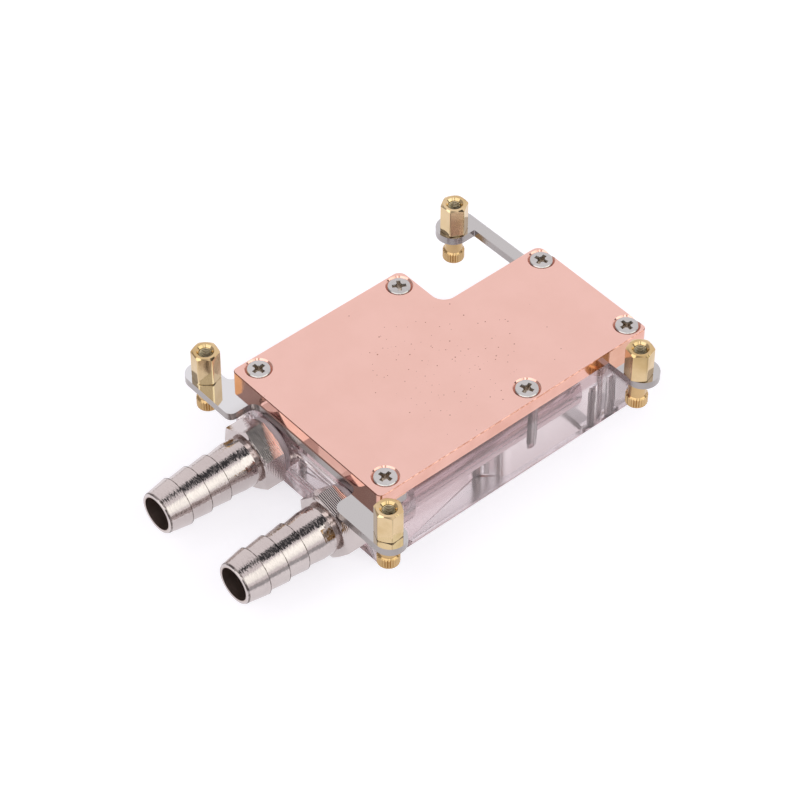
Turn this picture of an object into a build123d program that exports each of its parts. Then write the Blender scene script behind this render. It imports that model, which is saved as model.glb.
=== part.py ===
from build123d import *
import os
from math import cos, radians, tan

# Liquid cooling block for a processor: a copper cold plate lies on a clear body and closes its chamber.
# Two steel brackets are held between them and carry four standoffs; two barbed fittings bring the water.
# Millimetres. The origin is the middle of the block's outline on the body's lower face, +Z points out of
# the copper, the barbs point to -Y.

# Block outline
block_width = 51.0
block_length = 80.0
notch_width = 14.7
notch_length = 30.0
corner_radius = 1.3
notch_corner_radius = 2.1
notch_inner_radius = 3.5

# Clear body
body_height = 18.7
body_edge_chamfer = 0.25

# Cold plate
plate_thickness = 3.5
plate_edge_chamfer = 0.15

# Water chamber under the plate, and the fins in it: it fills the room inside its seal groove, and these walls
# stand between the groove and the brackets, the notch and the right middle screw
groove_front_wall = 1.9
groove_rear_wall = 5.55
groove_notch_wall = 3.3
groove_screw_wall = 1.45
chamber_depth = 3.0
chamber_corner_radius = 2.5
fin_thickness = 0.5
fin_pitch = 1.0
fin_gap_below = 0.4
fin_side_gap = 1.0
fin_end_gap = 7.0

# Seal groove round the chamber
groove_land = 1.5
groove_width = 2.0
groove_depth = 1.5
seal_side_clearance = 0.1
seal_edge_radius = 0.45

# Plate screws, countersunk M3: each axis by its distances from the two block edges beside it
front_screw_inset = 5.0
rear_screw_inset = 2.85
middle_screw_inset = 3.6
front_left_screw_side = 3.5
front_right_screw_side = 4.05
middle_left_screw_side = 3.75
right_screw_side = 3.8
notch_screw_side = 3.9
short_screw_length = 8.0
long_screw_length = 16.0
screw_core_radius = 1.22
screw_hole_clearance = 0.03
screw_hole_spare = 1.0
screw_pass_radius = 1.7
screw_head_radius = 2.75
screw_head_depth = 0.05
screw_head_edge = 0.15
countersink_radius = 3.25
countersink_clearance = 0.02
recess_span = 3.3
recess_arm = 0.95
recess_core_radius = 0.9
recess_depth = 1.3
recess_taper = 12
front_left_recess_turn = 6.0
front_right_recess_turn = 11.5
middle_left_recess_turn = 57.0
middle_right_recess_turn = 20.0
rear_left_recess_turn = 16.0
rear_right_recess_turn = -3.0

# Brackets
bracket_thickness = 2.0
bracket_side_stand = 0.2
bracket_pocket_clearance = 0.2
bracket_slot_width = 3.4
bracket_slot_play = 1.4
arm_end_flat = 0.04

# Front bracket: a strip along the front edge with an arm to each side
front_strip_depth = 8.8
front_strip_corner_radius = 1.8
front_arm_root_radius = 2.0
left_arm_width = 6.8
left_arm_end_margin = 5.15
left_arm_back_gap = 0.43
left_arm_root = 8.2
left_arm_corner_radius = 1.75
right_arm_width = 7.74
right_arm_end_margin = 4.8
right_arm_back_overlap = 0.3
right_arm_root = 7.3
right_arm_corner_radius = 2.5

# Rear bracket: it sits turned a little between its two screws
rear_bracket_turn = 0.65
rear_strip_width = 3.0
rear_strip_front = 2.1
rear_ear_radius = 2.75
hook_end_margin = 4.76
hook_width = 8.2
hook_drop = 7.2
hook_outer_radius = 4.0
hook_inner_radius = 0.3
rear_arm_inner_edge = 13.0
rear_arm_outer_edge = 17.9
rear_arm_front = 9.15
rear_arm_back = 1.15
rear_arm_end_margin = 4.0
rear_arm_corner_radius = 1.5
rear_arm_root_radius = 0.8

# Standoffs, M3 brass hex: each axis by its distances outside or inside the block's corner
front_left_standoff_out = (5.0, 3.3)
front_right_standoff_out = (6.5, 3.2)
rear_left_standoff_out = (5.2, -8.7)
rear_right_standoff_out = (6.7, -9.0)
standoff_flats = 5.9
standoff_height = 8.0
standoff_face_radius = 2.7
standoff_edge_radius = 0.45
standoff_chamfer_angle = 30
standoff_hole_radius = 1.5
standoff_hole_depth = 6.0
standoff_mouth_radius = 2.05
stud_radius = 1.45
stud_length = 6.0
front_left_standoff_turn = -71.0
front_right_standoff_turn = -86.0
rear_left_standoff_turn = -59.0
rear_right_standoff_turn = -73.0

# Knurled nuts under the brackets
nut_length = 6.95
nut_neck_radius = 2.12
nut_band_radius = 2.6
nut_band_length = 2.7
nut_band_chamfer = 0.2
nut_neck_fillet = 0.25
nut_bore_clearance = 0.05
nut_mouth_chamfer = 0.35
knurl_teeth = 24
knurl_depth = 0.22
knurl_groove_width = 0.5

# Hose fittings
fitting_drop = 9.35
inlet_side = 13.74
outlet_side = 10.32
inlet_turn = -30.2
outlet_turn = -46.6
fitting_bore_radius = 4.1
mouth_radius = 4.85
mouth_chamfer = 0.3
barb_root_radius = 5.3
barb_peak_radius = 5.9
barb_count = 3
first_barb_length = 5.7
barb_pitch = 5.4
tail_cone_length = 4.8
tail_length = 2.8
neck_length = 0.9
neck_radius = 5.2
hex_flats = 14.65
hex_length = 5.7
hex_corner_chamfer = 0.45
hex_face_inset = 0.05
thread_core_radius = 5.7
thread_length = 9.0
thread_chamfer = 0.6
port_clearance = 0.05
port_depth = 12.0

# Sealing rings between the hexes and the body
ring_thickness = 1.9
ring_inner_clearance = 0.15
ring_outer_radius = 6.9
ring_edge_radius = 0.5

# Water channels in the body
outlet_channel_radius = 3.5
outlet_channel_end_gap = 3.0
outlet_riser_radius = 3.0
outlet_riser_wall = 0.2
inlet_channel_radius = 2.5
inlet_channel_overlap = 1.5
channel_overlap = 0.5

# Tolerance for edges in one level, and how far a cutting shape runs past what it cuts
same_level = 0.001
overcut = 1.0

# Places worked out from the sizes above
left_edge = -block_width / 2
right_edge = block_width / 2
front_edge = -block_length / 2
rear_edge = block_length / 2
notch_side = left_edge + notch_width
notch_front = rear_edge - notch_length
plate_top = body_height + plate_thickness
bracket_bottom = body_height - bracket_thickness
hex_back = front_edge - ring_thickness
hex_front = hex_back - hex_length
fitting_height = body_height - fitting_drop
rear_screw_row = rear_edge - rear_screw_inset
middle_screw_row = notch_front - middle_screw_inset
front_screw_row = front_edge + front_screw_inset
groove_room = groove_land + groove_width
chamber_left = notch_side + groove_notch_wall + groove_room
chamber_right = right_edge - right_screw_side - screw_core_radius - groove_screw_wall - groove_room
chamber_front = front_edge - bracket_side_stand + front_strip_depth + groove_front_wall + groove_room
chamber_rear = rear_screw_row - rear_strip_front - groove_rear_wall - groove_room
chamber_width = chamber_right - chamber_left
chamber_length = chamber_rear - chamber_front
chamber_floor = body_height - chamber_depth
standoff_radius = standoff_flats / 2 / cos(radians(30))
hex_radius = hex_flats / 2 / cos(radians(30))

# Name: axis in plan, length under the surface, turn of the recess
plate_screws = {
    "front_left": ((left_edge + front_left_screw_side, front_screw_row),
                   short_screw_length, front_left_recess_turn),
    "front_right": ((right_edge - front_right_screw_side, front_screw_row),
                    short_screw_length, front_right_recess_turn),
    "middle_left": ((left_edge + middle_left_screw_side, middle_screw_row),
                    long_screw_length, middle_left_recess_turn),
    "middle_right": ((right_edge - right_screw_side, middle_screw_row),
                     long_screw_length, middle_right_recess_turn),
    "rear_left": ((notch_side + notch_screw_side, rear_screw_row),
                  long_screw_length, rear_left_recess_turn),
    "rear_right": ((right_edge - right_screw_side, rear_screw_row),
                   long_screw_length, rear_right_recess_turn),
}

# Name: axis in plan, turn of the hexagon
standoffs = {
    "front_left": ((left_edge - front_left_standoff_out[0], front_edge - front_left_standoff_out[1]),
                   front_left_standoff_turn),
    "front_right": ((right_edge + front_right_standoff_out[0], front_edge - front_right_standoff_out[1]),
                    front_right_standoff_turn),
    "rear_left": ((left_edge - rear_left_standoff_out[0], rear_edge + rear_left_standoff_out[1]),
                  rear_left_standoff_turn),
    "rear_right": ((right_edge + rear_right_standoff_out[0], rear_edge + rear_right_standoff_out[1]),
                   rear_right_standoff_turn),
}

# Name: axis across the block, turn of the hexagon
fittings = {
    "inlet": (left_edge + inlet_side, inlet_turn),
    "outlet": (right_edge - outlet_side, outlet_turn),
}


def rounded_outline(corners, grow=0.0):
    """Closed face from corners given as (x, y, radius) counterclockwise, made larger all round."""
    points = []
    radii = []
    for index, (x, y, radius) in enumerate(corners):
        here = Vector(x, y)
        before = (here - Vector(*corners[index - 1][:2])).normalized()
        after = (Vector(*corners[(index + 1) % len(corners)][:2]) - here).normalized()
        outward = Vector(before.Y + after.Y, -before.X - after.X)
        points.append(here + outward * (grow / (1 + before.dot(after))))
        turns_left = before.cross(after).Z > 0
        radii.append(radius + grow if turns_left else radius - grow)
    return make_face(FilletPolyline(*points, radius=radii, close=True))


def slab(face, bottom, height):
    """Face on the XY plane pulled up from a level by a height."""
    return extrude(Pos(0, 0, bottom) * face, amount=height, dir=(0, 0, 1))


def rod(start, end, radius):
    """Round rod between two points."""
    axis = Vector(*end) - Vector(*start)
    plane = Plane(origin=start, z_dir=axis)
    return extrude(plane * Circle(radius), amount=axis.length)


def turned(profile):
    """Solid of revolution about Z from a closed profile of (radius, height) points."""
    outline = make_face(Polyline(*[(radius, 0, height) for radius, height in profile], close=True))
    return revolve(outline, Axis.Z)


def block_outline():
    """Plan of the block with its notch at the rear left corner."""
    return rounded_outline([
        (left_edge, front_edge, corner_radius),
        (right_edge, front_edge, corner_radius),
        (right_edge, rear_edge, corner_radius),
        (notch_side, rear_edge, notch_corner_radius),
        (notch_side, notch_front, notch_inner_radius),
        (left_edge, notch_front, notch_corner_radius),
    ])


def chamber_outline(grow=0.0):
    """Rounded rectangle of the water chamber, made larger all round."""
    width = chamber_width + 2 * grow
    length = chamber_length + 2 * grow
    middle = Pos((chamber_left + chamber_right) / 2, (chamber_front + chamber_rear) / 2)
    return middle * RectangleRounded(width, length, chamber_corner_radius + grow)


def seal_ring(clearance, height):
    """Flat closed loop that fills the groove round the chamber."""
    outer = chamber_outline(groove_land + groove_width - clearance)
    inner = chamber_outline(groove_land + clearance)
    return slab(outer - inner, body_height - height, height)


def outer_edges(solid, level):
    """Edges of a solid that lie in one level."""
    return solid.edges().filter_by_position(Axis.Z, level - same_level, level + same_level)


def at_slots(bracket, names, turn):
    """Bracket with the slots that its standoffs pass through."""
    for name in names:
        (x, y), hexagon_turn = standoffs[name]
        outline = SlotOverall(bracket_slot_width + bracket_slot_play, bracket_slot_width)
        slot = Pos(x, y) * Rot(0, 0, turn) * outline
        bracket -= slab(slot, bracket_bottom, bracket_thickness)
    return bracket


def at_screws(bracket, names):
    """Bracket with the holes that its plate screws pass through."""
    for name in names:
        (x, y), length, turn = plate_screws[name]
        bracket -= slab(Pos(x, y) * Circle(screw_pass_radius), bracket_bottom, bracket_thickness)
    return bracket


def front_bracket_outline(grow=0.0):
    """Strip along the front edge with one arm out to each side, made larger all round."""
    strip_front = front_edge - bracket_side_stand
    strip_rear = strip_front + front_strip_depth
    strip_left = left_edge - bracket_side_stand
    strip_right = right_edge + bracket_side_stand
    left_back = front_edge - left_arm_back_gap
    left_front = left_back - left_arm_width
    left_end = standoffs["front_left"][0][0] - left_arm_end_margin
    right_back = front_edge + right_arm_back_overlap
    right_front = right_back - right_arm_width
    right_end = standoffs["front_right"][0][0] + right_arm_end_margin
    left_root = left_edge + left_arm_root
    right_root = right_edge - right_arm_root
    left_round = (left_arm_width - arm_end_flat) / 2
    right_round = (right_back - right_front - arm_end_flat) / 2
    return rounded_outline([
        (left_end, left_front, left_round),
        (left_root, left_front, left_arm_corner_radius),
        (left_root, strip_front, front_arm_root_radius),
        (right_root, strip_front, front_arm_root_radius),
        (right_root, right_front, right_arm_corner_radius),
        (right_end, right_front, right_round),
        (right_end, right_back, right_round),
        (strip_right, right_back, front_strip_corner_radius),
        (strip_right, strip_rear, front_strip_corner_radius),
        (strip_left, strip_rear, front_strip_corner_radius),
        (strip_left, left_back, front_strip_corner_radius),
        (left_end, left_back, left_round),
    ], grow)


def rear_bracket_outline(grow=0.0):
    """Strip under the rear edge with a hook on the left and an arm on the right, made larger all round."""
    (left_x, left_y), left_length, left_turn = plate_screws["rear_left"]
    (right_x, right_y), right_length, right_turn = plate_screws["rear_right"]
    middle_x = (left_x + right_x) / 2
    hook_reach = middle_x - standoffs["rear_left"][0][0] + hook_end_margin
    rear_arm_reach = standoffs["rear_right"][0][0] - middle_x + rear_arm_end_margin
    strip_rear = rear_strip_width - rear_strip_front
    hook_round = (hook_width - arm_end_flat) / 2
    arm_round = (rear_arm_front - rear_arm_back - arm_end_flat) / 2
    strip = rounded_outline([
        (-hook_reach, strip_rear, hook_outer_radius),
        (-hook_reach, -rear_strip_front - hook_drop, hook_round),
        (hook_width - hook_reach, -rear_strip_front - hook_drop, hook_round),
        (hook_width - hook_reach, -rear_strip_front, hook_inner_radius),
        (rear_arm_inner_edge, -rear_strip_front, rear_arm_corner_radius),
        (rear_arm_inner_edge, -rear_arm_front, rear_arm_corner_radius),
        (rear_arm_reach, -rear_arm_front, arm_round),
        (rear_arm_reach, -rear_arm_back, arm_round),
        (rear_arm_outer_edge, -rear_arm_back, rear_arm_root_radius),
        (rear_arm_outer_edge, strip_rear, rear_arm_root_radius),
    ], grow)
    middle = Pos(middle_x, (left_y + right_y) / 2)
    outline = middle * Rot(0, 0, rear_bracket_turn) * strip
    for x, y in ((left_x, left_y), (right_x, right_y)):
        outline += Pos(x, y) * Circle(rear_ear_radius + grow)
    return outline


def front_bracket():
    """Front bracket with its slots and screw holes."""
    plate = slab(front_bracket_outline(), bracket_bottom, bracket_thickness)
    plate = at_slots(plate, ("front_left", "front_right"), 0)
    return at_screws(plate, ("front_left", "front_right"))


def rear_bracket():
    """Rear bracket with its slots and screw holes."""
    plate = slab(rear_bracket_outline(), bracket_bottom, bracket_thickness)
    plate = at_slots(plate, ("rear_left", "rear_right"), rear_bracket_turn)
    return at_screws(plate, ("rear_left", "rear_right"))


def cold_plate():
    """Copper plate with countersunk holes and the fins that hang into the chamber."""
    plate = slab(block_outline(), body_height, plate_thickness)
    plate = chamfer(outer_edges(plate, plate_top), plate_edge_chamfer)
    countersink_depth = countersink_radius - screw_pass_radius
    for (x, y), length, turn in plate_screws.values():
        cutter = turned([
            (0, plate_top + overcut),
            (countersink_radius + overcut, plate_top + overcut),
            (screw_pass_radius, plate_top - countersink_depth),
            (screw_pass_radius, body_height - overcut),
            (0, body_height - overcut),
        ])
        plate -= Pos(x, y) * cutter
    fin_height = chamber_depth - fin_gap_below
    fin_room = chamber_width - 2 * fin_side_gap
    fin_count = int((fin_room - fin_thickness) / fin_pitch) + 1
    fin_length = chamber_length - 2 * fin_end_gap
    first = (chamber_left + chamber_right - (fin_count - 1) * fin_pitch) / 2
    fin_middle = (chamber_front + chamber_rear) / 2
    for index in range(fin_count):
        fin = Pos(first + index * fin_pitch, fin_middle) * Rectangle(fin_thickness, fin_length)
        plate += slab(fin, body_height - fin_height, fin_height)
    return plate


def clear_body():
    """Machined clear block with chamber, seal groove, bracket pockets, screw holes, ports and channels."""
    body = slab(block_outline(), 0, body_height)
    body = chamfer(outer_edges(body, 0), body_edge_chamfer)
    body -= slab(chamber_outline(), chamber_floor, chamber_depth)
    body -= seal_ring(0, groove_depth)
    for outline in (front_bracket_outline, rear_bracket_outline):
        body -= slab(outline(bracket_pocket_clearance), bracket_bottom, bracket_thickness)
    for (x, y), length, turn in plate_screws.values():
        bottom = plate_top - length - screw_hole_spare
        hole = Circle(screw_core_radius + screw_hole_clearance)
        body -= slab(Pos(x, y) * hole, bottom, body_height - bottom)
    port_end = front_edge + port_depth
    for x, turn in fittings.values():
        start = (x, front_edge, fitting_height)
        body -= rod(start, (x, port_end, fitting_height), thread_core_radius + port_clearance)
    inlet_x = fittings["inlet"][0]
    outlet_x = fittings["outlet"][0]
    channel_top = chamber_floor + channel_overlap
    inlet_start = (inlet_x, port_end - inlet_channel_overlap, fitting_height)
    inlet_inset = inlet_channel_radius + channel_overlap
    inlet_end = (chamber_left + inlet_inset, chamber_front + inlet_inset, channel_top)
    body -= rod(inlet_start, inlet_end, inlet_channel_radius)
    channel_end = chamber_rear - outlet_channel_end_gap
    outlet_start = (outlet_x, port_end, fitting_height)
    body -= rod(outlet_start, (outlet_x, channel_end, fitting_height), outlet_channel_radius)
    riser_x = chamber_right - outlet_riser_radius - outlet_riser_wall
    riser_y = channel_end - outlet_riser_radius
    riser_start = (riser_x, riser_y, fitting_height)
    body -= rod(riser_start, (riser_x, riser_y, channel_top), outlet_riser_radius)
    return body


def plate_seal():
    """Rubber loop pressed flat in its groove by the plate."""
    loop = seal_ring(seal_side_clearance, groove_depth)
    return fillet(outer_edges(loop, body_height), seal_edge_radius)


def plate_screw(length, turn):
    """Countersunk screw, its axis on Z and the plate's surface at the origin, pointing down."""
    rim_radius = screw_head_radius - countersink_clearance
    rim_depth = countersink_radius - screw_head_radius
    shank_depth = rim_depth + rim_radius - screw_core_radius
    body = turned([
        (0, -screw_head_depth),
        (rim_radius - screw_head_edge, -screw_head_depth),
        (rim_radius, -screw_head_depth - screw_head_edge),
        (rim_radius, -rim_depth),
        (screw_core_radius, -shank_depth),
        (screw_core_radius, screw_core_radius / 3 - length),
        (screw_core_radius * 2 / 3, -length),
        (0, -length),
    ])
    arm = Rectangle(recess_span, recess_arm)
    cross = Rot(0, 0, turn) * (arm + Rot(0, 0, 90) * arm + Circle(recess_core_radius))
    cross = Pos(0, 0, -screw_head_depth) * cross
    return body - extrude(cross, amount=recess_depth, dir=(0, 0, -1), taper=recess_taper)


def standoff(turn):
    """Hex standoff standing on the bracket, with its blind hole on top and its stud below."""
    top = standoff_height
    slope = tan(radians(standoff_chamfer_angle))
    corner_drop = (standoff_radius - standoff_face_radius) * slope
    outline = RegularPolygon(standoff_radius, 6)
    outline = fillet(outline.vertices(), standoff_edge_radius)
    hexagon = extrude(Rot(0, 0, turn) * outline, amount=top)
    envelope = turned([
        (0, 0),
        (standoff_face_radius, 0),
        (standoff_radius, corner_drop),
        (standoff_radius, top - corner_drop),
        (standoff_face_radius, top),
        (0, top),
    ])
    body = hexagon & envelope
    mouth_depth = standoff_mouth_radius - standoff_hole_radius
    floor = top - standoff_hole_depth
    body -= turned([
        (0, top + overcut),
        (standoff_mouth_radius + overcut, top + overcut),
        (standoff_hole_radius, top - mouth_depth),
        (standoff_hole_radius, floor),
        (0, floor - standoff_hole_radius * slope),
    ])
    stud_chamfer = stud_radius / 4
    return body + turned([
        (0, 0),
        (stud_radius, 0),
        (stud_radius, stud_chamfer - stud_length),
        (stud_radius - stud_chamfer, -stud_length),
        (0, -stud_length),
    ])


def knurled_nut():
    """Thumb nut with a smooth neck against the bracket and a knurled band at its lower end."""
    band_top = nut_band_length - nut_length
    bore = stud_radius + nut_bore_clearance
    body = turned([
        (bore + nut_mouth_chamfer, 0),
        (nut_neck_radius, 0),
        (nut_neck_radius, band_top + nut_neck_fillet),
        (nut_neck_radius + nut_neck_fillet, band_top),
        (nut_band_radius - nut_band_chamfer, band_top),
        (nut_band_radius, band_top - nut_band_chamfer),
        (nut_band_radius, nut_band_chamfer - nut_length),
        (nut_band_radius - nut_band_chamfer, -nut_length),
        (bore + nut_mouth_chamfer, -nut_length),
        (bore, nut_mouth_chamfer - nut_length),
        (bore, -nut_mouth_chamfer),
    ])
    groove = make_face(Polyline(
        (nut_band_radius - knurl_depth, 0),
        (nut_band_radius + knurl_depth, -knurl_groove_width),
        (nut_band_radius + knurl_depth, knurl_groove_width),
        close=True))
    cutter = slab(groove, -nut_length, nut_band_length)
    return body - [Rot(0, 0, 360 * index / knurl_teeth) * cutter for index in range(knurl_teeth)]


def fitting_profile():
    """Half section of the turned part of a fitting: radius and distance from the mouth."""
    rim_radius = mouth_radius + mouth_chamfer * 2 / 3
    profile = [(fitting_bore_radius, 0), (mouth_radius, 0), (rim_radius, mouth_chamfer)]
    for index in range(barb_count):
        step = first_barb_length + index * barb_pitch
        profile += [(barb_peak_radius, step), (barb_root_radius, step)]
    cone_end = first_barb_length + (barb_count - 1) * barb_pitch + tail_cone_length
    neck_start = cone_end + tail_length
    hex_start = neck_start + neck_length
    shank_start = hex_start + hex_length
    shank_end = shank_start + ring_thickness + thread_length
    profile += [
        (barb_peak_radius, cone_end),
        (barb_peak_radius, neck_start),
        (neck_radius, neck_start),
        (neck_radius, hex_start + hex_corner_chamfer),
        (thread_core_radius, hex_start + hex_corner_chamfer),
        (thread_core_radius, shank_end - thread_chamfer),
        (thread_core_radius - thread_chamfer, shank_end),
        (fitting_bore_radius, shank_end),
    ]
    return profile, hex_start


def facing_back(x, y):
    """Place on a port's axis whose +Z runs into the body."""
    return Plane(origin=(x, y, fitting_height), x_dir=(1, 0, 0), z_dir=(0, 1, 0))


def hose_fitting(turn):
    """Barbed fitting with its mouth at the origin and its shank along +Z."""
    profile, hex_start = fitting_profile()
    hexagon = slab(Rot(0, 0, turn) * RegularPolygon(hex_radius, 6), hex_start, hex_length)
    face_radius = hex_flats / 2 - hex_face_inset
    hex_end = hex_start + hex_length
    envelope = turned([
        (fitting_bore_radius, hex_start),
        (face_radius, hex_start),
        (hex_radius, hex_start + hex_corner_chamfer),
        (hex_radius, hex_end - hex_corner_chamfer),
        (face_radius, hex_end),
        (fitting_bore_radius, hex_end),
    ])
    return turned(profile) + (hexagon & envelope)


def placed_fitting(x, turn):
    """Fitting with its hex a ring's thickness in front of the body."""
    profile, hex_start = fitting_profile()
    return facing_back(x, hex_front - hex_start) * hose_fitting(turn)


def sealing_ring():
    """Ring between a hex and the body, from the origin along +Z."""
    inner = thread_core_radius + ring_inner_clearance
    outline = Rectangle(ring_outer_radius - inner, ring_thickness, align=Align.MIN)
    outline = fillet(outline.vertices().group_by(Axis.X)[-1], ring_edge_radius)
    return revolve(Plane.XZ * Pos(inner, 0) * outline, Axis.Z)


def build_parts():
    """Every piece of the block by name."""
    parts = {
        "cold_plate": cold_plate(),
        "clear_body": clear_body(),
        "plate_seal": plate_seal(),
        "front_bracket": front_bracket(),
        "rear_bracket": rear_bracket(),
    }
    for name, ((x, y), length, turn) in plate_screws.items():
        parts["plate_screw_" + name] = Pos(x, y, plate_top) * plate_screw(length, turn)
    nut = knurled_nut()
    for name, ((x, y), turn) in standoffs.items():
        parts["standoff_" + name] = Pos(x, y, body_height) * standoff(turn)
        parts["knurled_nut_" + name] = Pos(x, y, bracket_bottom) * nut
    for name, (x, turn) in fittings.items():
        parts[name + "_fitting"] = placed_fitting(x, turn)
        parts[name + "_seal"] = facing_back(x, hex_back) * sealing_ring()
    return parts


os.makedirs("parts", exist_ok=True)
for part_name, part in build_parts().items():
    export_step(part, "parts/" + part_name + ".step")
    print(part_name, round(part.volume, 2), part.is_valid, len(part.solids()))
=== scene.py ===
from math import cos, pi, radians, sin

import bmesh
import bpy
from mathutils import Matrix, Vector


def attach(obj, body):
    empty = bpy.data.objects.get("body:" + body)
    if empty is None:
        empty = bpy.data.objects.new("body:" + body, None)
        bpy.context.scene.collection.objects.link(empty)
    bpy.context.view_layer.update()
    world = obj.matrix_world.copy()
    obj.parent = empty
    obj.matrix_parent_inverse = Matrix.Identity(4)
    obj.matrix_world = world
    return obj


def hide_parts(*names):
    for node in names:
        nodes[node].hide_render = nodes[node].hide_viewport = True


# Looks of the liquid cooling block: its materials, the screw threads, the studio and the camera.
# Metres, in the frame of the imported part.

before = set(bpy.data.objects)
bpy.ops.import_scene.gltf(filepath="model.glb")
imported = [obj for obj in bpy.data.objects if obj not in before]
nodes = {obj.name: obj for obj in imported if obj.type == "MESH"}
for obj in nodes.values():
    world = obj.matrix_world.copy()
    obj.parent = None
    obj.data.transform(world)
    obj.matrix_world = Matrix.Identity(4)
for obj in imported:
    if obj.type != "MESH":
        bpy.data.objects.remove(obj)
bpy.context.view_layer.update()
MM = 0.001

# Camera, worked out from the block's straight edges
LENS = 142.085
FILM_WIDTH = 36.0
CAMERA_PLACE = (0.373463, -0.338749, 0.524131)
CAMERA_RIGHT = (0.65525, 0.7554, 0.00392)
CAMERA_UP = (-0.54342, 0.46775, 0.69707)
CAMERA_BACK = (0.52473, -0.45889, 0.71699)

# Sizes of the block and places of its fasteners and fittings, in millimetres
HALF_WIDTH = 25.5
HALF_LENGTH = 40.0
PLATE_TOP = 22.2
SHORT_SCREWS = ((-22.0, -35.0), (21.45, -35.0))
LONG_SCREWS = ((-21.75, 6.4), (21.7, 6.4), (-6.9, 37.15), (21.7, 37.15))
STANDOFFS = ((-30.5, -43.3), (32.0, -43.2), (-30.7, 31.3), (32.2, 31.0))
STANDOFF_TOP = 26.7
FITTINGS = (-11.76, 15.18)
FITTING_HEIGHT = 9.35
HEXAGON_FRONT = -47.25
HEXAGON_BACK = -42.05
BARBS_END = -54.5
BARB_EDGE = -66.9
BARB_PITCH = 5.4
BORE_RADIUS = 4.1

# Threads, in millimetres: core radius, height of the ridge, pitch
SCREW_THREAD = (1.22, 0.26, 0.5)
STANDOFF_THREAD = (1.5, -0.27, 0.5)
FITTING_THREAD = (5.7, 0.85, 1.337)
RIDGE_SPREAD = 0.5

# Runs of thread, in millimetres: how far a run starts below the top of the plate or standoff, or in front of
# the middle, and its length
SHORT_SCREW_RUN = (7.6, 4.0)
LONG_SCREW_RUN = (15.6, 12.0)
STANDOFF_RUN = (5.6, 4.9)
FITTING_RUN = (39.8, 8.6)

# Gap between the clear body and its neighbours, in millimetres
HAIR = 0.015

# Floor, in metres: how far it reaches, and where its paper ends in reflections
FLOOR_REACH = 3.0
PAPER_END = (0.050, 0.066)

LIGHT_BOUNCES = 20


# Small helpers for node trees

def put(tree, socket, value):
    """Links an output to a socket, or sets the socket's own value."""
    if isinstance(value, bpy.types.NodeSocket):
        tree.links.new(value, socket)
    else:
        socket.default_value = value


def fill(tree, made, sockets):
    """Sets or links input sockets of a node by name."""
    for name, value in sockets.items():
        put(tree, made.inputs[name.replace("_", " ")], value)


def add(tree, kind, settings=None, **sockets):
    """Node of a kind, with its settings and its input sockets."""
    made = tree.nodes.new(kind)
    for name, value in (settings or {}).items():
        setattr(made, name, value)
    fill(tree, made, sockets)
    return made


def maths(tree, operation, *values):
    """Output of a Math node."""
    made = add(tree, "ShaderNodeMath", {"operation": operation})
    for socket, value in zip(made.inputs, values):
        put(tree, socket, value)
    return made.outputs[0]


def product(tree, first, *others):
    """Several masks or values multiplied."""
    for other in others:
        first = maths(tree, "MULTIPLY", first, other)
    return first


def blend(tree, mask, first, second):
    """Colour between two colours by a mask."""
    made = add(tree, "ShaderNodeMix", {"data_type": "RGBA"})
    put(tree, made.inputs[0], mask)
    put(tree, made.inputs[6], first)
    put(tree, made.inputs[7], second)
    return made.outputs[2]


def span(tree, value, low, high, new_low=0.0, new_high=1.0, smooth=True):
    """Value moved from one range to another, held at its ends."""
    made = add(tree, "ShaderNodeMapRange", {"interpolation_type": "SMOOTHSTEP" if smooth else "LINEAR"},
               Value=value, From_Min=low, From_Max=high, To_Min=new_low, To_Max=new_high)
    return made.outputs[0]


def past(tree, value, edge, soft):
    """Mask of where a value is past an edge, which is soft to both sides. Both are in millimetres. Where soft
    is below zero, the mask is of what comes before the edge."""
    return span(tree, value, (edge - soft) * MM, (edge + soft) * MM)


def place_parts(tree):
    """X, Y and Z of a point on the object."""
    place = add(tree, "ShaderNodeTexCoord").outputs["Object"]
    return add(tree, "ShaderNodeSeparateXYZ", Vector=place).outputs


def facing_parts(tree):
    """X, Y and Z of the way that the surface faces."""
    facing = add(tree, "ShaderNodeNewGeometry").outputs["Normal"]
    return add(tree, "ShaderNodeSeparateXYZ", Vector=facing).outputs


def reach_from(tree, first, second, centres):
    """Distance in a plane from the nearest of some centres, given in millimetres."""
    nearest = 1.0
    for centre in centres:
        parts = [maths(tree, "SUBTRACT", value, place * MM) for value, place in zip((first, second), centre)]
        squares = [maths(tree, "MULTIPLY", part, part) for part in parts]
        nearest = maths(tree, "MINIMUM", nearest, maths(tree, "SQRT", maths(tree, "ADD", *squares)))
    return nearest


def group(name, inputs, outputs):
    """Empty shader node group with named sockets: returns the tree, its inputs and its output node."""
    tree = bpy.data.node_groups.new(name, "ShaderNodeTree")
    for label, kind, value in inputs:
        socket = tree.interface.new_socket(label, in_out="INPUT", socket_type=kind)
        socket.default_value = value
    for label, kind in outputs:
        tree.interface.new_socket(label, in_out="OUTPUT", socket_type=kind)
    return tree, tree.nodes.new("NodeGroupInput").outputs, tree.nodes.new("NodeGroupOutput").inputs


def use(tree, group_tree, **sockets):
    """A node group placed in a material."""
    return add(tree, "ShaderNodeGroup", {"node_tree": group_tree}, **sockets).outputs


def rub(tree, scale, stretch, strength, distance):
    """Fine grain as a surface: returns its bump and its mask of slow mottles."""
    grain = use(tree, fine_grain, Scale=scale, Stretch=stretch)
    bump = add(tree, "ShaderNodeBump", Height=grain["Height"], Strength=strength, Distance=distance)
    return bump.outputs[0], grain["Mottle"]


def material(name):
    """New material: returns it, its tree and its Principled shader."""
    made = bpy.data.materials.new(name)
    made.use_nodes = True
    return made, made.node_tree, made.node_tree.nodes["Principled BSDF"]


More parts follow.
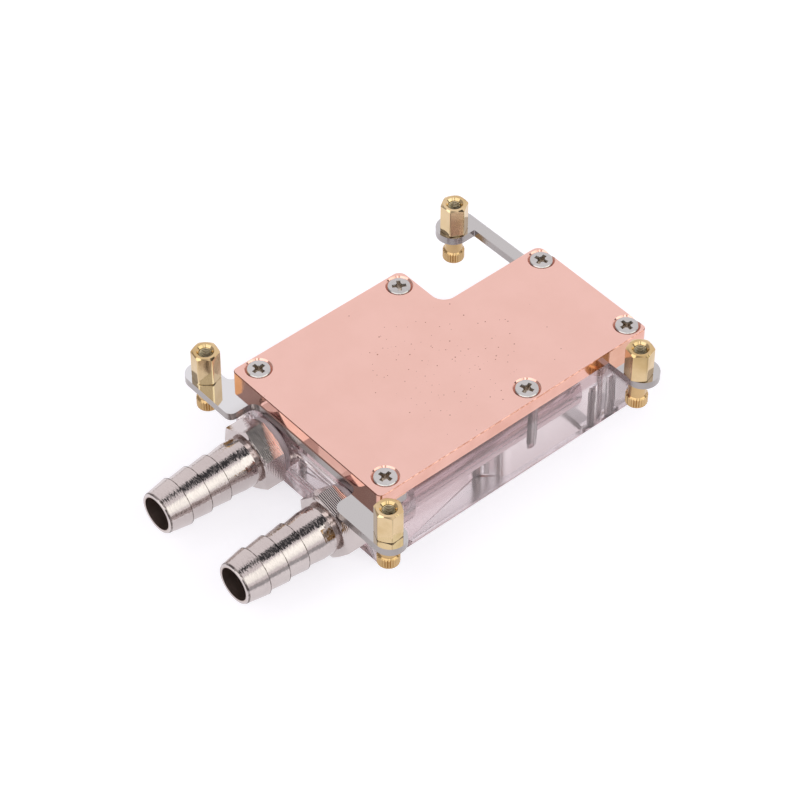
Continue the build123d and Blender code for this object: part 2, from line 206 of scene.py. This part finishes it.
def dress(made, *names):
    """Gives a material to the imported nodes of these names."""
    for name in names:
        slots = nodes[name].data.materials
        slots.clear()
        slots.append(made)


# Effects that several materials use

def make_fine_grain():
    """Fine metal grain: a height and a mask of slow mottles."""
    tree, given, out = group(
        "fine_grain",
        (("Scale", "NodeSocketFloat", 4000.0), ("Stretch", "NodeSocketVector", (1.0, 1.0, 1.0))),
        (("Height", "NodeSocketFloat"), ("Mottle", "NodeSocketFloat")))
    place = add(tree, "ShaderNodeTexCoord").outputs["Object"]
    stretched = add(tree, "ShaderNodeMapping", Vector=place, Scale=given["Stretch"]).outputs[0]
    grain = add(tree, "ShaderNodeTexNoise", Vector=stretched, Scale=given["Scale"], Detail=3.0, Roughness=0.6)
    mottle = add(tree, "ShaderNodeTexNoise", Vector=place, Scale=120.0, Detail=4.0, Roughness=0.55)
    put(tree, out["Height"], grain.outputs[0])
    put(tree, out["Mottle"], span(tree, mottle.outputs[0], 0.3, 0.7))
    return tree


def make_fine_pits():
    """Scattered tiny pits: a mask, 1 inside a pit."""
    tree, given, out = group(
        "fine_pits",
        (("Scale", "NodeSocketFloat", 700.0), ("Size", "NodeSocketFloat", 0.1),
         ("Share", "NodeSocketFloat", 0.1)),
        (("Mask", "NodeSocketFloat"),))
    place = add(tree, "ShaderNodeTexCoord").outputs["Object"]
    cells = add(tree, "ShaderNodeTexVoronoi", Vector=place, Scale=given["Scale"])
    picked = add(tree, "ShaderNodeSeparateColor", Color=cells.outputs["Color"]).outputs
    size = product(tree, given["Size"], maths(tree, "ADD", picked[1], 0.4))
    inside = span(tree, maths(tree, "SUBTRACT", size, cells.outputs["Distance"]), 0.0, 0.04)
    chosen = maths(tree, "LESS_THAN", picked[0], given["Share"])
    put(tree, out["Mask"], product(tree, inside, chosen))
    return tree


def make_tool_lines():
    """Marks of a tool that went round an axis along Y: broken fine lines, and even ridges of one pitch."""
    tree, given, out = group(
        "tool_lines",
        (("Scale", "NodeSocketFloat", 6000.0), ("Break up", "NodeSocketFloat", 0.1),
         ("Pitch", "NodeSocketFloat", 0.0003)),
        (("Lines", "NodeSocketFloat"), ("Ridges", "NodeSocketFloat")))
    place = add(tree, "ShaderNodeTexCoord").outputs["Object"]
    across = add(tree, "ShaderNodeCombineXYZ", X=given["Break up"], Y=1.0, Z=given["Break up"]).outputs[0]
    stretched = add(tree, "ShaderNodeMapping", Vector=place, Scale=across).outputs[0]
    lines = add(tree, "ShaderNodeTexNoise", Vector=stretched, Scale=given["Scale"], Detail=0.5, Roughness=0.5)
    wander = add(tree, "ShaderNodeTexNoise", Vector=place, Scale=500.0, Detail=1.0).outputs[0]
    along = add(tree, "ShaderNodeSeparateXYZ", Vector=place).outputs[1]
    turns = maths(tree, "ADD", maths(tree, "DIVIDE", along, given["Pitch"]), wander)
    put(tree, out["Lines"], lines.outputs[0])
    put(tree, out["Ridges"], maths(tree, "SINE", product(tree, turns, 2 * pi)))
    return tree


fine_grain = make_fine_grain()
fine_pits = make_fine_pits()
tool_lines = make_tool_lines()


# Materials

def make_copper_plate():
    """Satin copper face with pits that crowd near its middle, bright sawn edges, a dark burr along the front,
    and along the right chamfer a broken band of painted shade that dims its reflection."""
    made, tree, shader = material("copper_plate")
    place = place_parts(tree)
    facing = facing_parts(tree)
    face = span(tree, facing[2], 0.6, 0.95)
    grain = use(tree, fine_grain, Scale=2600.0, Stretch=(1.0, 0.35, 1.0))
    middle = add(tree, "ShaderNodeVectorMath", {"operation": "DISTANCE"})
    put(tree, middle.inputs[0], add(tree, "ShaderNodeTexCoord").outputs["Object"])
    put(tree, middle.inputs[1], (0.006, -0.002, PLATE_TOP * MM))
    crowd = span(tree, middle.outputs["Value"], 0.004, 0.026, 0.40, 0.008)
    pits = product(tree, use(tree, fine_pits, Scale=1250.0, Size=0.165, Share=crowd)["Mask"], face)

    satin = blend(tree, grain["Mottle"], (0.90, 0.572, 0.495, 1), (0.925, 0.595, 0.52, 1))
    bright = blend(tree, grain["Mottle"], (0.80, 0.43, 0.34, 1), (0.88, 0.515, 0.425, 1))
    colour = blend(tree, face, bright, satin)
    slope = span(tree, facing[2], 0.3, 0.5)
    burr = product(tree, span(tree, facing[1], -0.3, -0.6), slope,
                   past(tree, place[1], 0.9 - HALF_LENGTH, -0.1))
    # Painted shade: a darker broken band on the right chamfer that dims its reflection.
    right_chamfer_shade = product(tree, span(tree, facing[0], 0.3, 0.6), slope, past(tree, place[0], HALF_WIDTH - 0.6, 0.1),
                   span(tree, grain["Height"], 0.42, 0.55, 0.35, 0.95))
    colour = blend(tree, right_chamfer_shade, colour, (0.36, 0.15, 0.10, 1))
    colour = blend(tree, burr, colour, (0.20, 0.07, 0.05, 1))
    colour = blend(tree, product(tree, pits, 0.9), colour, (0.32, 0.10, 0.06, 1))

    rough = maths(tree, "ADD", span(tree, face, 0.0, 1.0, 0.08, 0.30), product(tree, burr, 0.3))
    height = product(tree, grain["Height"], span(tree, face, 0.0, 1.0, 0.5, 1.0))
    height = maths(tree, "SUBTRACT", height, product(tree, pits, 3.0))
    bump = add(tree, "ShaderNodeBump", Height=height, Strength=0.12, Distance=0.00003).outputs[0]
    fill(tree, shader, dict(Base_Color=colour, Metallic=1.0, Roughness=rough, Normal=bump))
    return made


def make_clear_acrylic():
    """Clear acrylic: polished outside, machined and a little matte inside, with rings of painted shade at the
    threads in the screw holes and a painted copper reflection on its outer faces. Light that only passes on
    its way to a shadow goes straight through."""
    made, tree, shader = material("clear_acrylic")
    place = place_parts(tree)
    facing = facing_parts(tree)
    level = place[2]
    upright = span(tree, maths(tree, "ABSOLUTE", facing[2]), 0.9, 0.6)
    sides = past(tree, maths(tree, "ABSOLUTE", place[0]), HALF_WIDTH - 0.5, 0.1)
    ends = past(tree, maths(tree, "ABSOLUTE", place[1]), HALF_LENGTH - 0.5, 0.1)
    outer = product(tree, maths(tree, "MAXIMUM", sides, ends), upright)
    outer = maths(tree, "MAXIMUM", outer, past(tree, level, 0.75, -0.25))
    tapped = past(tree, reach_from(tree, place[0], place[1], SHORT_SCREWS + LONG_SCREWS), 2.2, -0.2)
    # Painted shade: darker rings on the walls of the tapped holes, one to each turn of the thread.
    turns = maths(tree, "SINE", product(tree, level, 2 * pi / (SCREW_THREAD[2] * MM)))
    shaded_thread_rings = product(tree, span(tree, turns, -0.1, 0.5), tapped, upright)

    # Painted reflection of the copper plate on the outer faces: a pink tint, deeper low down, and dark pink
    # bands along the top and bottom.
    copper_reflection_bands = maths(tree, "MAXIMUM", past(tree, level, 14.8, 0.6), past(tree, level, 0.65, -0.25))
    rise = span(tree, level, 3.0 * MM, 13.0 * MM, smooth=False)
    copper_reflection_tint = blend(tree, rise, (0.66, 0.565, 0.585, 1), (0.93, 0.85, 0.87, 1))
    colour = blend(tree, outer, (0.80, 0.705, 0.725, 1), copper_reflection_tint)
    colour = blend(tree, product(tree, copper_reflection_bands, outer), colour, (0.50, 0.33, 0.34, 1))
    colour = blend(tree, shaded_thread_rings, colour, (0.34, 0.29, 0.29, 1))
    rough = span(tree, maths(tree, "MAXIMUM", outer, tapped), 0.0, 1.0, 0.25, 0.015)
    rough = maths(tree, "ADD", rough, product(tree, shaded_thread_rings, 0.25))
    fill(tree, shader, dict(Base_Color=colour, Roughness=rough, IOR=1.49, Transmission_Weight=1.0))

    mixed = add(tree, "ShaderNodeMixShader")
    put(tree, mixed.inputs[0], add(tree, "ShaderNodeLightPath").outputs["Is Shadow Ray"])
    put(tree, mixed.inputs[1], shader.outputs[0])
    put(tree, mixed.inputs[2], add(tree, "ShaderNodeBsdfTransparent", Color=(0.93, 0.91, 0.92, 1)).outputs[0])
    put(tree, tree.nodes["Material Output"].inputs["Surface"], mixed.outputs[0])
    return made


def make_bracket_steel():
    """Polished faces with a painted highlight on the front bracket's left arm, and grey cut edges with fine
    marks.
    """
    made, tree, shader = material("bracket_steel")
    place = place_parts(tree)
    face = span(tree, maths(tree, "ABSOLUTE", facing_parts(tree)[2]), 0.5, 0.9)
    # Painted highlight: the polished faces of the front bracket's left arm are lighter.
    left_arm_highlight = product(tree, past(tree, place[0], -17.0, -3.0), past(tree, place[1], 0.0, -5.0))
    polish_and_highlight = blend(tree, left_arm_highlight, (0.565, 0.555, 0.55, 1), (0.76, 0.77, 0.78, 1))
    colour = blend(tree, face, (0.42, 0.39, 0.38, 1), polish_and_highlight)
    rough = span(tree, face, 0.0, 1.0, 0.20, 0.05)
    marks = use(tree, fine_grain, Scale=3000.0, Stretch=(1.0, 1.0, 0.08))
    height = product(tree, marks["Height"], span(tree, face, 0.0, 1.0, 1.0, 0.0))
    bump = add(tree, "ShaderNodeBump", Height=height, Strength=0.4, Distance=0.00005).outputs[0]
    fill(tree, shader, dict(Base_Color=colour, Metallic=1.0, Roughness=rough, Normal=bump))
    return made


def make_screw_nickel():
    """Satin nickel plate, with painted brown shade in the cross recesses."""
    made, tree, shader = material("screw_nickel")
    bump, mottle = rub(tree, 5000.0, (1.0, 1.0, 1.0), 0.2, 0.00003)
    colour = blend(tree, mottle, (0.55, 0.54, 0.53, 1), (0.63, 0.62, 0.61, 1))
    level = place_parts(tree)[2]
    # Painted shade: a browner tone in the cross recesses.
    recess_shade = product(tree, past(tree, level, PLATE_TOP - 0.55, -0.15),
                     past(tree, level, PLATE_TOP - 2.1, 0.1))
    colour = blend(tree, recess_shade, colour, (0.60, 0.54, 0.48, 1))
    fill(tree, shader, dict(Base_Color=colour, Metallic=1.0, Roughness=0.24, Normal=bump))
    return made


def make_brass(name, low, high, rough, tapped=()):
    """Bright brass with slow changes of tone. In tapped holes a painted highlight pales the crests and
    painted shade darkens the roots.
    """
    made, tree, shader = material(name)
    bump, mottle = rub(tree, 2500.0, (1.0, 1.0, 0.3), 0.15, 0.00003)
    colour = blend(tree, mottle, low, high)
    if tapped:
        place = place_parts(tree)
        reach = reach_from(tree, place[0], place[1], tapped)
        # Painted shade in the thread roots and a painted highlight on the crests, which are also rougher.
        root = product(tree, past(tree, reach, 1.45, 0.03), past(tree, reach, 1.57, -0.03))
        crest_highlight = past(tree, reach, 1.41, -0.03)
        colour = blend(tree, root, colour, (0.36, 0.25, 0.10, 1))
        colour = blend(tree, crest_highlight, colour, (0.98, 0.92, 0.72, 1))
        rough = span(tree, crest_highlight, 0.0, 1.0, rough, 0.5)
    fill(tree, shader, dict(Base_Color=colour, Metallic=1.0, Roughness=rough, Normal=bump))
    return made


def make_fitting_nickel():
    """Bright nickel plate over turned brass: the lathe's lines on the barbs, a cutter's ridges on the
    hexagon, a broken line of painted shadow at each barb's edge, and a rougher bore darkened with painted
    shade."""
    made, tree, shader = material("fitting_nickel")
    place = place_parts(tree)
    along = place[1]
    marks = use(tree, tool_lines, Scale=2700.0, Break_up=0.5, Pitch=0.00045)
    mottle = use(tree, fine_grain, Scale=1800.0, Stretch=(1.0, 1.0, 1.0))["Mottle"]
    hexagon = product(tree, past(tree, along, HEXAGON_FRONT, 0.25), past(tree, along, HEXAGON_BACK, -0.25))
    reach = reach_from(tree, place[0], place[2], [(x, FITTING_HEIGHT) for x in FITTINGS])
    # Painted shade darkens the bore's colour; the bore is also rougher.
    shaded_dull_bore = past(tree, reach, BORE_RADIUS + 0.2, -0.1)

    # Painted shadow: a broken dark line along each barb's edge.
    barb = maths(tree, "DIVIDE", maths(tree, "SUBTRACT", along, BARB_EDGE * MM), BARB_PITCH * MM)
    from_edge = product(tree, maths(tree, "SUBTRACT", barb, maths(tree, "ROUND", barb)), BARB_PITCH * MM)
    barb_edge_shadow = product(tree, past(tree, from_edge, -0.22, 0.04), past(tree, from_edge, 0.2, -0.1),
                   past(tree, along, BARBS_END, -0.5), span(tree, marks["Lines"], 0.6, 0.4, 0.45, 0.9))
    colour = blend(tree, mottle, (0.60, 0.535, 0.52, 1), (0.65, 0.585, 0.565, 1))
    colour = blend(tree, barb_edge_shadow, colour, (0.10, 0.08, 0.07, 1))
    colour = blend(tree, shaded_dull_bore, colour, (0.52, 0.43, 0.39, 1))

    specks = product(tree, span(tree, marks["Lines"], 0.50, 0.56), maths(tree, "SUBTRACT", 1.0, hexagon),
                     maths(tree, "SUBTRACT", 1.0, shaded_dull_bore))
    rough = maths(tree, "ADD", span(tree, specks, 0.0, 1.0, 0.07, 0.22), product(tree, shaded_dull_bore, 0.25))
    rough = maths(tree, "ADD", rough, product(tree, hexagon, 0.03))
    lines = product(tree, marks["Lines"], span(tree, hexagon, 0.0, 1.0, 1.0, 0.1))
    height = maths(tree, "ADD", lines, product(tree, marks["Ridges"], 0.18, hexagon))
    bump = add(tree, "ShaderNodeBump", Height=height, Strength=0.38, Distance=0.00006).outputs[0]
    fill(tree, shader, dict(Base_Color=colour, Metallic=1.0, Roughness=rough, Normal=bump))
    return made


def make_seal_rubber():
    """Matte pale rubber."""
    made, tree, shader = material("seal_rubber")
    bump, mottle = rub(tree, 3000.0, (1.0, 1.0, 1.0), 0.3, 0.00005)
    colour = blend(tree, mottle, (0.66, 0.58, 0.61, 1), (0.74, 0.66, 0.69, 1))
    fill(tree, shader, dict(Base_Color=colour, Roughness=0.55, Normal=bump))
    return made


def make_ring_rubber():
    """Clear soft sealing ring, a little milky."""
    made, tree, shader = material("ring_rubber")
    bump = rub(tree, 900.0, (1.0, 1.0, 1.0), 0.1, 0.00003)[0]
    fill(tree, shader, dict(Base_Color=(0.84, 0.71, 0.74, 1), Roughness=0.4, IOR=1.41, Normal=bump,
                            Transmission_Weight=0.3))
    return made


copper_plate = make_copper_plate()
clear_acrylic = make_clear_acrylic()
bracket_steel = make_bracket_steel()
screw_nickel = make_screw_nickel()
standoff_brass = make_brass("standoff_brass", (0.62, 0.44, 0.21, 1), (0.78, 0.60, 0.36, 1), 0.10, STANDOFFS)
nut_brass = make_brass("nut_brass", (0.52, 0.34, 0.15, 1), (0.64, 0.44, 0.22, 1), 0.16)
fitting_nickel = make_fitting_nickel()
seal_rubber = make_seal_rubber()
ring_rubber = make_ring_rubber()

CORNERS = ("front_left", "front_right", "rear_left", "rear_right")
dress(copper_plate, "cold_plate")
dress(bracket_steel, "front_bracket", "rear_bracket")
dress(screw_nickel, *["plate_screw_" + name for name in (*CORNERS, "middle_left", "middle_right")])
dress(standoff_brass, *["standoff_" + name for name in CORNERS])
dress(nut_brass, *["knurled_nut_" + name for name in CORNERS])
dress(fitting_nickel, "inlet_fitting", "outlet_fitting")
dress(seal_rubber, "plate_seal")
dress(ring_rubber, "inlet_seal", "outlet_seal")


# Clear body

def make_plain(made):
    """Turns an object with live modifiers into a plain mesh."""
    bpy.context.view_layer.update()
    finished = bpy.data.meshes.new_from_object(made.evaluated_get(bpy.context.evaluated_depsgraph_get()))
    made.modifiers.clear()
    made.data = finished


def make_clear_body(gap):
    """The clear body, every face drawn in by a hair: light inside it meets its own face before its
    neighbour's."""
    shape = bmesh.new()
    shape.from_mesh(nodes["clear_body"].data)
    bmesh.ops.remove_doubles(shape, verts=shape.verts, dist=0.001 * MM)
    shape.normal_update()
    moves = [corner.normal * (-gap * MM * corner.calc_shell_factor()) for corner in shape.verts]
    for corner, move in zip(shape.verts, moves):
        corner.co += move
    mesh = bpy.data.meshes.new("clear_body_glass")
    shape.to_mesh(mesh)
    shape.free()
    mesh.materials.append(clear_acrylic)
    mesh.shade_smooth()
    mesh.set_sharp_from_angle(angle=radians(25))
    body = bpy.data.objects.new("clear_body_glass", mesh)
    bpy.context.scene.collection.objects.link(body)
    flats = body.modifiers.new("flats", "WEIGHTED_NORMAL")
    flats.keep_sharp = True
    make_plain(body)
    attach(body, "root")
    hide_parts("clear_body")


make_clear_body(HAIR)


# Threads

def make_thread_tree():
    """Geometry Nodes: a helical ridge on each point, its axis along Z, fading out at both ends."""
    tree = bpy.data.node_groups.new("thread_ridge", "GeometryNodeTree")
    for label, kind in (("Points", "NodeSocketGeometry"), ("Core radius", "NodeSocketFloat"),
                        ("Ridge height", "NodeSocketFloat"), ("Ridge spread", "NodeSocketFloat"),
                        ("Ridge turn", "NodeSocketFloat"), ("Pitch", "NodeSocketFloat"),
                        ("Turns", "NodeSocketFloat"), ("Steps", "NodeSocketInt"),
                        ("Material", "NodeSocketMaterial")):
        tree.interface.new_socket(label, in_out="INPUT", socket_type=kind)
    tree.interface.new_socket("Ridges", in_out="OUTPUT", socket_type="NodeSocketGeometry")
    given = tree.nodes.new("NodeGroupInput").outputs
    length = product(tree, given["Pitch"], given["Turns"])
    helix = add(tree, "GeometryNodeCurveSpiral", Resolution=given["Steps"], Rotations=given["Turns"],
                Start_Radius=given["Core radius"], End_Radius=given["Core radius"], Height=length).outputs[0]
    helix = add(tree, "GeometryNodeSetCurveNormal", {"mode": "Z_UP"}, Curve=helix).outputs[0]
    along = add(tree, "GeometryNodeSplineParameter").outputs["Factor"]
    to_end = maths(tree, "MINIMUM", along, maths(tree, "SUBTRACT", 1.0, along))
    fade = maths(tree, "MINIMUM", product(tree, to_end, given["Turns"]), 1.0)
    helix = add(tree, "GeometryNodeSetCurveRadius", Curve=helix, Radius=fade).outputs[0]
    wedge = add(tree, "GeometryNodeCurvePrimitiveCircle", {"mode": "RADIUS"},
                Resolution=3, Radius=1.0).outputs[0]
    shape = add(tree, "ShaderNodeCombineXYZ",
                X=given["Ridge height"], Y=given["Ridge spread"], Z=1.0).outputs[0]
    facing = add(tree, "ShaderNodeCombineXYZ", Z=given["Ridge turn"]).outputs[0]
    wedge = add(tree, "GeometryNodeTransform", Geometry=wedge, Scale=shape, Rotation=facing).outputs[0]
    ridge = add(tree, "GeometryNodeCurveToMesh", Curve=helix, Profile_Curve=wedge, Fill_Caps=True).outputs[0]
    placed = add(tree, "GeometryNodeInstanceOnPoints", Points=given["Points"], Instance=ridge).outputs[0]
    whole = add(tree, "GeometryNodeRealizeInstances", Geometry=placed).outputs[0]
    finished = add(tree, "GeometryNodeSetMaterial", Geometry=whole, Material=given["Material"]).outputs[0]
    put(tree, tree.nodes.new("NodeGroupOutput").inputs[0], finished)
    return tree


thread_tree = make_thread_tree()


def grow(name, points, tree, values):
    """Plain mesh that a Geometry Nodes tree makes from some points."""
    mesh = bpy.data.meshes.new(name)
    mesh.from_pydata(points, [], [])
    made = bpy.data.objects.new(name, mesh)
    bpy.context.scene.collection.objects.link(made)
    modifier = made.modifiers.new("maker", "NODES")
    modifier.node_group = tree
    for item in tree.interface.items_tree:
        if item.in_out == "INPUT" and item.name in values:
            modifier[item.identifier] = values[item.name]
    make_plain(made)
    return made


def thread(name, finish, places, sizes, length, steps, turn=None):
    """Thread ridges at some places, given in millimetres, riding on the block. A height below zero makes them
    point inwards."""
    core, height, pitch = sizes
    made = grow(name, [Vector(place) * MM for place in places], thread_tree, {
        "Core radius": core * MM,
        "Ridge height": abs(height) * MM,
        "Ridge spread": pitch * RIDGE_SPREAD * MM,
        "Ridge turn": pi if height > 0 else 0.0,
        "Pitch": pitch * MM,
        "Turns": length / pitch,
        "Steps": steps,
        "Material": finish,
    })
    if turn:
        made.data.transform(turn)
    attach(made, "root")


def thread_down(name, finish, holes, top, run, sizes, steps):
    """Thread ridges round upright axes, in a run that starts at its depth below a top and rises."""
    depth, length = run
    thread(name, finish, [(x, y, top - depth) for x, y in holes], sizes, length, steps)


thread_down("short_screw_threads", screw_nickel, SHORT_SCREWS, PLATE_TOP, SHORT_SCREW_RUN,
            SCREW_THREAD, 40)
thread_down("long_screw_threads", screw_nickel, LONG_SCREWS, PLATE_TOP, LONG_SCREW_RUN,
            SCREW_THREAD, 40)
thread_down("standoff_threads", standoff_brass, STANDOFFS, STANDOFF_TOP, STANDOFF_RUN,
            STANDOFF_THREAD, 48)
thread("fitting_threads", fitting_nickel,
       [(x, -FITTING_HEIGHT, -FITTING_RUN[0]) for x in FITTINGS],
       FITTING_THREAD, FITTING_RUN[1], 64, Matrix.Rotation(radians(-90), 4, "X"))


# Floor and light

def make_floor():
    """Pale floor that keeps the object's shadow: white to the camera, and in reflections as far as the paper
    goes."""
    reach = FLOOR_REACH
    mesh = bpy.data.meshes.new("floor")
    mesh.from_pydata([(-reach, -reach, 0), (reach, -reach, 0), (reach, reach, 0), (-reach, reach, 0)],
                     [], [(0, 1, 2, 3)])
    floor = bpy.data.objects.new("floor", mesh)
    bpy.context.scene.collection.objects.link(floor)
    made, tree, shader = material("floor_white")
    path = add(tree, "ShaderNodeLightPath").outputs
    mirrored = span(tree, place_parts(tree)[0], *PAPER_END, 0.9, 0.0)
    seen = maths(tree, "MAXIMUM", path["Is Camera Ray"], path["Is Transmission Ray"])
    seen = maths(tree, "MAXIMUM", seen, product(tree, path["Is Glossy Ray"], mirrored))
    fill(tree, shader, dict(Base_Color=(0.50, 0.50, 0.52, 1), Roughness=0.9, Specular_IOR_Level=0.0))
    glow = product(tree, seen, 0.66)
    fill(tree, shader, dict(Emission_Color=(0.98, 0.965, 1.0, 1), Emission_Strength=glow))
    mesh.materials.append(made)


def direction(azimuth, elevation):
    """Unit vector from degrees."""
    a, e = radians(azimuth), radians(elevation)
    return (cos(a) * cos(e), sin(a) * cos(e), sin(e))


# Studio: azimuth, elevation, inner and outer radius in degrees, colour. A later patch covers an earlier one.
DARK = (0.06, 0.06, 0.065)
STUDIO = (
    (12.0, 36.0, 12.0, 25.0, (1.40, 1.42, 1.36)),
    (34.0, 38.0, 14.0, 24.0, (1.65, 1.68, 1.60)),
    (42.0, 50.0, 8.0, 12.0, (1.65, 1.68, 1.60)),
    (-41.0, 47.0, 14.0, 18.0, (1.9, 1.9, 1.9)),
    (-72.0, 43.0, 15.0, 18.0, (1.7, 1.7, 1.7)),
    (-100.0, 37.0, 13.0, 16.0, (1.6, 1.6, 1.6)),
    (-120.0, 59.0, 10.0, 14.0, (1.9, 1.9, 1.9)),
    (-41.0, 46.0, 3.0, 7.0, (0.62, 0.58, 0.52)),
    (54.0, 22.0, 5.0, 8.0, (0.12, 0.12, 0.12)),
    (85.0, 73.0, 12.0, 15.0, DARK),
    (55.0, 68.0, 9.0, 12.0, DARK),
    (57.0, 59.0, 6.0, 8.0, DARK),
    (120.0, 69.0, 6.0, 11.0, DARK),
)
STUDIO_BACK = (0.96, 0.92, 0.94)
STUDIO_FRONT = (0.42, 0.40, 0.41)
STUDIO_LOW = (0.45, 0.42, 0.42)


def make_studio():
    """Surroundings that light the block and show in its metal: pale wall behind, dimmer room in front, soft
    lights, and dark patches above."""
    world = bpy.data.worlds.new("studio")
    bpy.context.scene.world = world
    world.use_nodes = True
    tree = world.node_tree
    tree.nodes.clear()
    way = add(tree, "ShaderNodeTexCoord").outputs["Generated"]
    parts = add(tree, "ShaderNodeSeparateXYZ", Vector=way).outputs
    colour = blend(tree, span(tree, parts[1], -0.25, 0.15), (*STUDIO_FRONT, 1), (*STUDIO_BACK, 1))
    colour = blend(tree, span(tree, parts[2], -0.02, 0.12), (*STUDIO_LOW, 1), colour)
    for azimuth, elevation, inner, outer, tone in STUDIO:
        facing = add(tree, "ShaderNodeVectorMath", {"operation": "DOT_PRODUCT"})
        put(tree, facing.inputs[0], way)
        put(tree, facing.inputs[1], direction(azimuth, elevation))
        patch = span(tree, facing.outputs["Value"], cos(radians(outer)), cos(radians(inner)))
        colour = blend(tree, patch, colour, (*tone, 1))
    path = add(tree, "ShaderNodeLightPath").outputs
    colour = blend(tree, path["Is Camera Ray"], colour, (1, 1, 1, 1))
    light = add(tree, "ShaderNodeBackground", Color=colour, Strength=1.0).outputs[0]
    put(tree, tree.nodes.new("ShaderNodeOutputWorld").inputs["Surface"], light)


def make_camera():
    """Camera of the photograph."""
    data = bpy.data.cameras.new("camera")
    data.lens = LENS
    data.sensor_width = FILM_WIDTH
    data.clip_start = 0.02
    data.clip_end = 50.0
    camera = bpy.data.objects.new("camera", data)
    turn = Matrix((CAMERA_RIGHT, CAMERA_UP, CAMERA_BACK)).transposed()
    camera.matrix_world = Matrix.Translation(CAMERA_PLACE) @ turn.to_4x4()
    bpy.context.scene.collection.objects.link(camera)
    bpy.context.scene.camera = camera


make_floor()
make_studio()
make_camera()
bpy.context.scene.view_settings.view_transform = "Standard"
for limit in ("max_bounces", "glossy_bounces", "transmission_bounces"):
    setattr(bpy.context.scene.cycles, limit, LIGHT_BOUNCES)
